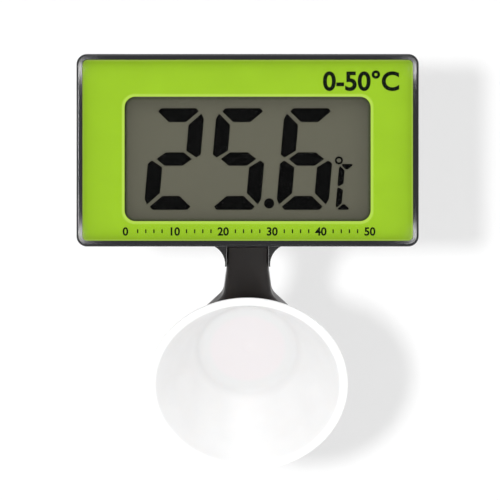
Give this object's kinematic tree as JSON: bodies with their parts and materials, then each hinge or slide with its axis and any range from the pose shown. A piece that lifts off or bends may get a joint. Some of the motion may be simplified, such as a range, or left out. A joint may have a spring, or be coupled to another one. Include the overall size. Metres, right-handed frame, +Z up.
{
  "type": "aquarium thermometer",
  "caption": "Submersible digital thermometer: flat case with a segment display, tilting on a pinned arm that swivels on a suction cup.",
  "frame": {"origin": "centre of the suction cup's rim, in the plane that meets the glass", "axes": "+Z up along the case's height, the display faces -Y, +X to the viewer's right; the cup's mouth faces forward and 30 degrees down"},
  "size_m": [0.056, 0.0275, 0.0686],
  "materials": {
    "milky_silicone": "soft translucent white silicone, satin",
    "arm_plastic": "fine satin moulded",
    "pin_steel": "ground",
    "rim_plastic": "polished moulded",
    "rear_plastic": "fine spark-eroded texture",
    "seal_rubber": "soft black",
    "screw_steel": "stainless, turned",
    "clear_acrylic": "clear polished",
    "black_ink": "black screen print behind the clear panel",
    "green_print": "screen print behind the clear panel",
    "tape": "foam tape",
    "polarizer_film": "clear grey film",
    "lcd_glass": "clear thin glass",
    "glass_seal": "cured resin",
    "liquid_crystal": "dark lit segments",
    "reflector_film": "grey-green reflective film",
    "holder_plastic": "white moulded",
    "zebra_rubber": "striped conductive rubber",
    "board_laminate": "green lacquered laminate",
    "resin_black": "cast resin",
    "chip_ceramic": "fired chip with tinned ends",
    "capacitor_ceramic": "fired chip with tinned ends",
    "bead_glass": "glass bead",
    "tinned_wire": "tinned",
    "sensor_steel": "stainless, drawn",
    "potting_resin": "cast resin",
    "cell_steel": "nickel plated",
    "nylon": "moulded nylon",
    "contact_brass": "plated spring strip",
    "cap_plastic": "moulded, fine texture"
  },
  "bodies": {
    "cup": {"suction_cup": "milky_silicone"},
    "arm": {"swivel_arm": "arm_plastic", "hinge_pin": "pin_steel"},
    "case": {"front_case": "rim_plastic", "rear_case": "rear_plastic", "case_seal": "seal_rubber", "case_screws": "screw_steel", "face_panel": "clear_acrylic", "face_print": "green_print", "face_marks": "black_ink", "panel_adhesive": "tape", "lcd_front_polarizer": "polarizer_film", "lcd_front_glass": "lcd_glass", "lcd_cell_seal": "glass_seal", "lcd_segments": "liquid_crystal", "lcd_rear_glass": "lcd_glass", "lcd_rear_polarizer": "reflector_film", "lcd_holder": "holder_plastic", "zebra_strip": "zebra_rubber", "circuit_board": "board_laminate", "board_screws": "screw_steel", "chip_blob": "resin_black", "chip_resistors": "chip_ceramic", "chip_capacitors": "capacitor_ceramic", "thermistor_bead": "bead_glass", "thermistor_leads": "tinned_wire", "sensor_cap": "sensor_steel", "sensor_potting": "potting_resin", "battery_can": "cell_steel", "battery_anode_cap": "cell_steel", "battery_grommet": "nylon", "positive_contact": "contact_brass", "negative_contact": "contact_brass"},
    "cap_seal": {"battery_cap_o_ring": "seal_rubber"},
    "battery_cap": {"battery_cap": "cap_plastic"}
  },
  "joints": [
    {"name": "cup_swivel", "type": "hinge", "parent": "cup", "child": "arm", "pos_m": [0, 0.01347, 0.00777], "axis": [0, -0.866, -0.5], "continuous": true},
    {"name": "arm_tilt", "type": "hinge", "parent": "arm", "child": "case", "pos_m": [0, 0.00382, 0.02449], "axis": [1, 0, 0], "range_deg": [-30, 30]},
    {"name": "battery_cap_travel", "type": "slide", "parent": "case", "child": "cap_seal", "axis": [0, 1, 0], "range_m": [0, 0.00225]},
    {"name": "battery_cap_turn", "type": "hinge", "parent": "cap_seal", "child": "battery_cap", "pos_m": [0, 0.00702, 0.04114], "axis": [0, 1, 0], "range_deg": [0, 540]}
  ],
  "couplings": [
    {"joint": "battery_cap_turn", "follows": "battery_cap_travel", "rad_per_m": 4188.8}
  ]
}
